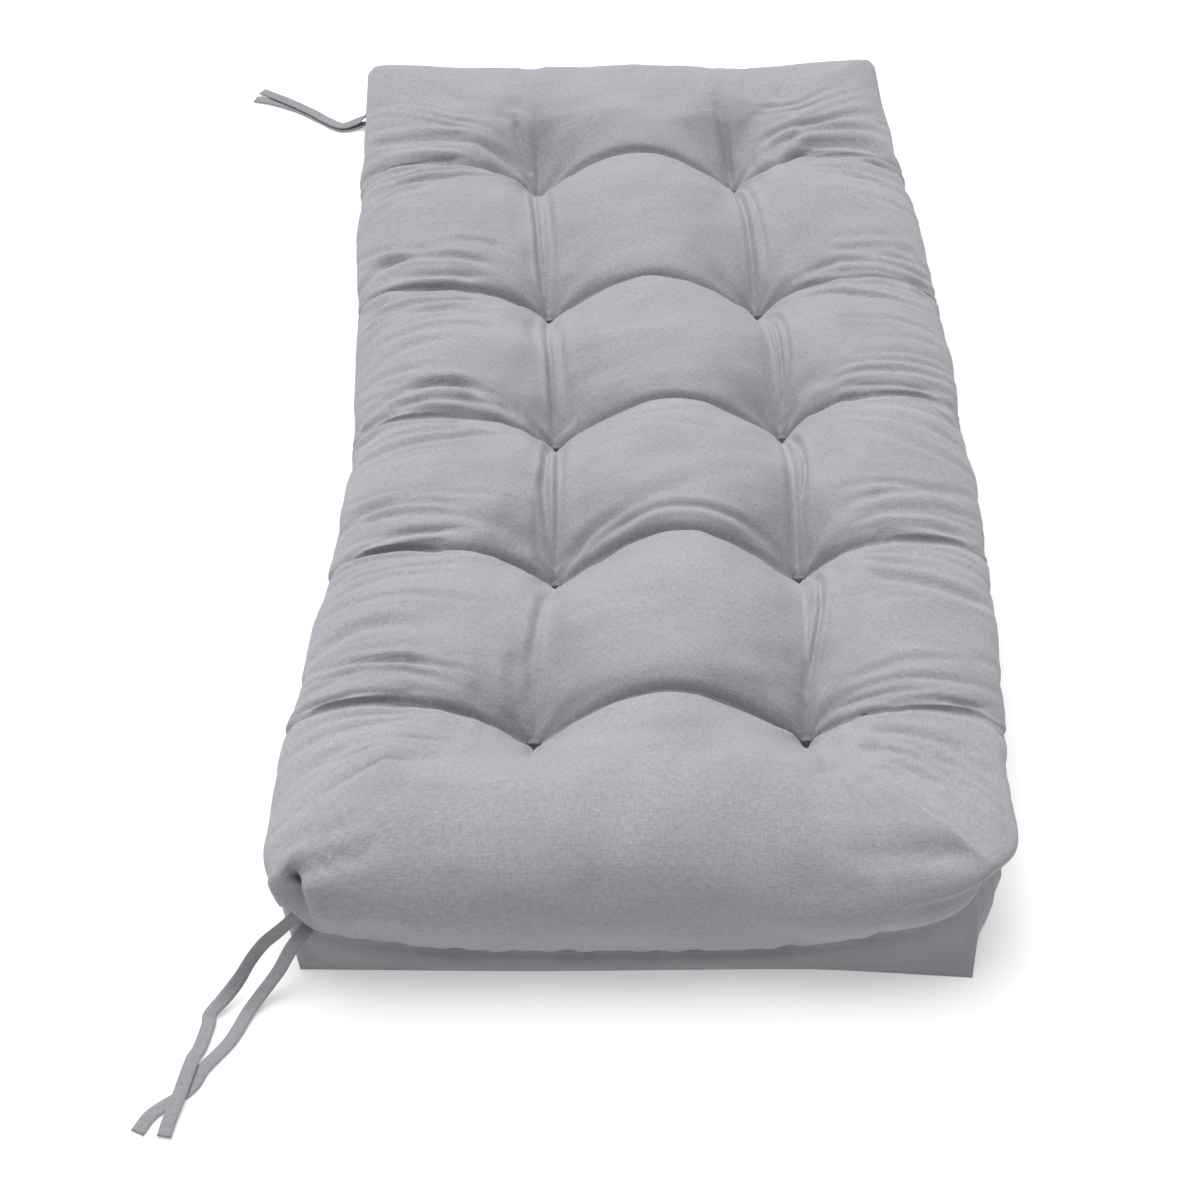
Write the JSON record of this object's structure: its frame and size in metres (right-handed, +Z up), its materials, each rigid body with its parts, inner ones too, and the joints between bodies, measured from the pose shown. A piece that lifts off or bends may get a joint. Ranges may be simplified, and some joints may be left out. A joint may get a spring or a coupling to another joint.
{
  "type": "bench cushion",
  "caption": "Stuffed grey cloth bench cushion with tufted cells, a seam round its sides and flat tape ties at the corners of one long side.",
  "frame": {"origin": "centre of the cushion's box, on the surface it lies on", "axes": "+X across the cushion, away from the tied long side; +Y along its length; +Z up out of its tufted face"},
  "size_m": [0.5917, 1.2128, 0.121],
  "materials": {
    "cover_cloth": "matte plain weave",
    "tuft_thread": "matte thread",
    "tie_tape": "matte folded tape"
  },
  "bodies": {
    "root": {"cushion": "cover_cloth", "tuft_left_1": "tuft_thread", "tuft_left_2": "tuft_thread", "tuft_left_3": "tuft_thread", "tuft_left_4": "tuft_thread", "tuft_left_5": "tuft_thread", "tuft_right_1": "tuft_thread", "tuft_right_2": "tuft_thread", "tuft_right_3": "tuft_thread", "tuft_right_4": "tuft_thread", "tuft_right_5": "tuft_thread", "tie_near_upper": "tie_tape", "tie_near_lower": "tie_tape", "tie_far_upper": "tie_tape", "tie_far_lower": "tie_tape"}
  },
  "joints": []
}
